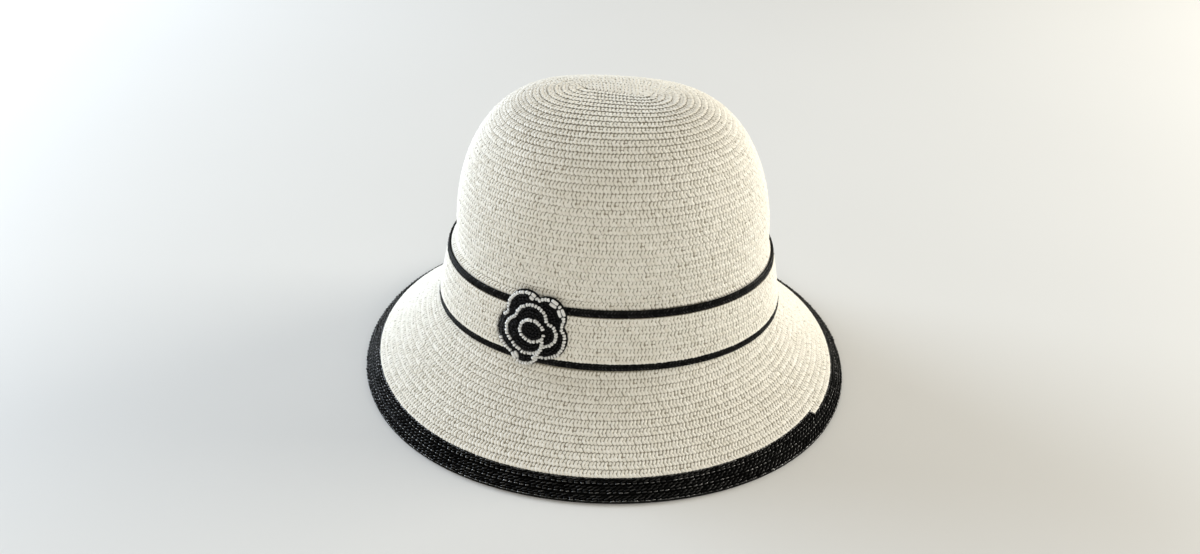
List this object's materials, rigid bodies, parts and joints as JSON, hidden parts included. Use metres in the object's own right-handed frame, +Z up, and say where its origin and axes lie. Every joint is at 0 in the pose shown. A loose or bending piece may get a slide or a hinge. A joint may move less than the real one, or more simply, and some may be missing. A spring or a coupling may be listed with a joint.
{
  "type": "straw cloche hat",
  "caption": "Woven straw cloche hat with a domed crown, a flared brim edged in dark braid, a straw band held by flat cords and a beaded felt flower at its side.",
  "frame": {"origin": "centre of the bounding box on the surface that the brim's rim stands on", "axes": "+Z up out of the tip of the crown, -Y towards the hat's front, +X towards the wearer's left, the side with the flower"},
  "size_m": [0.297, 0.3192, 0.1849],
  "materials": {
    "straw": "matte sewn paper straw braid, off-white",
    "black_braid": "satin black straw braid",
    "black_cord": "flat black plaited cord",
    "felt": "matte black felt",
    "jet_beads": "glossy black seed beads sewn side by side",
    "white_beads": "glossy opaque white seed and bugle beads"
  },
  "bodies": {
    "root": {"crown_and_brim": "straw", "brim_edging": "black_braid", "hat_band": "straw", "upper_cord": "black_cord", "lower_cord": "black_cord", "flower_backing": "felt", "outer_petal_1": "jet_beads", "outer_petal_2": "jet_beads", "outer_petal_3": "jet_beads", "outer_petal_4": "jet_beads", "outer_petal_5": "jet_beads", "middle_petal_1": "jet_beads", "middle_petal_2": "jet_beads", "middle_petal_3": "jet_beads", "middle_petal_4": "jet_beads", "flower_centre": "jet_beads", "outer_beads_1": "white_beads", "outer_beads_2": "white_beads", "outer_beads_3": "white_beads", "outer_beads_4": "white_beads", "outer_beads_5": "white_beads", "middle_beads_1": "white_beads", "middle_beads_2": "white_beads", "middle_beads_3": "white_beads", "middle_beads_4": "white_beads", "centre_beads": "white_beads"}
  },
  "joints": []
}
